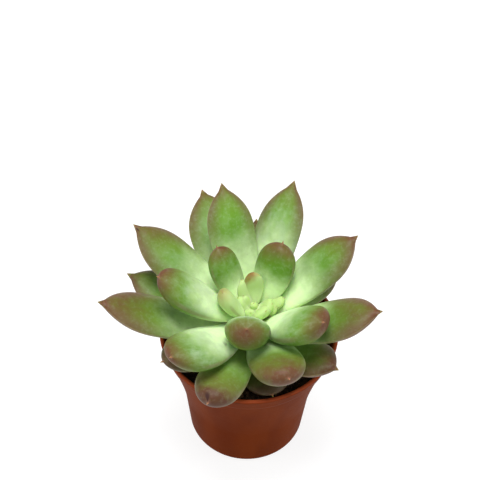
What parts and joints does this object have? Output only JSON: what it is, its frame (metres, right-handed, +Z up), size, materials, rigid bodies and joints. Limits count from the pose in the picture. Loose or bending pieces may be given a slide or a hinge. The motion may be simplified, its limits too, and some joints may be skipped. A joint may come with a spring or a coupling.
{
  "type": "potted succulent",
  "caption": "Small rosette succulent with fleshy pointed leaves, planted in dark soil in a flared terracotta-coloured plastic nursery pot.",
  "frame": {"origin": "Centre of the pot's flat underside, on the surface that the pot stands on.", "axes": "+Z up along the pot's axis; -Y is the front, the side that the lowest front leaves droop to; +X is to the right seen from the front."},
  "size_m": [0.0814, 0.0746, 0.078],
  "materials": {
    "pot_plastic": "satin",
    "potting_soil": "crumbly",
    "stem_bark": "matt",
    "leaf_young": "waxy",
    "leaf_green": "waxy",
    "leaf_shaded": "waxy"
  },
  "bodies": {
    "root": {"pot": "pot_plastic", "soil": "potting_soil", "stem": "stem_bark", "leaf_00": "leaf_young", "leaf_01": "leaf_young", "leaf_02": "leaf_young", "leaf_03": "leaf_young", "leaf_04": "leaf_green", "leaf_05": "leaf_green", "leaf_06": "leaf_green", "leaf_07": "leaf_green", "leaf_08": "leaf_green", "leaf_09": "leaf_green", "leaf_10": "leaf_green", "leaf_11": "leaf_green", "leaf_12": "leaf_green", "leaf_13": "leaf_green", "leaf_14": "leaf_green", "leaf_15": "leaf_green", "leaf_16": "leaf_green", "leaf_17": "leaf_green", "leaf_18": "leaf_shaded", "leaf_19": "leaf_shaded", "leaf_20": "leaf_shaded", "leaf_21": "leaf_shaded", "leaf_22": "leaf_shaded", "leaf_23": "leaf_shaded", "leaf_24": "leaf_shaded", "leaf_25": "leaf_shaded", "leaf_26": "leaf_shaded", "bud_1": "leaf_young", "bud_2": "leaf_young"}
  },
  "joints": []
}
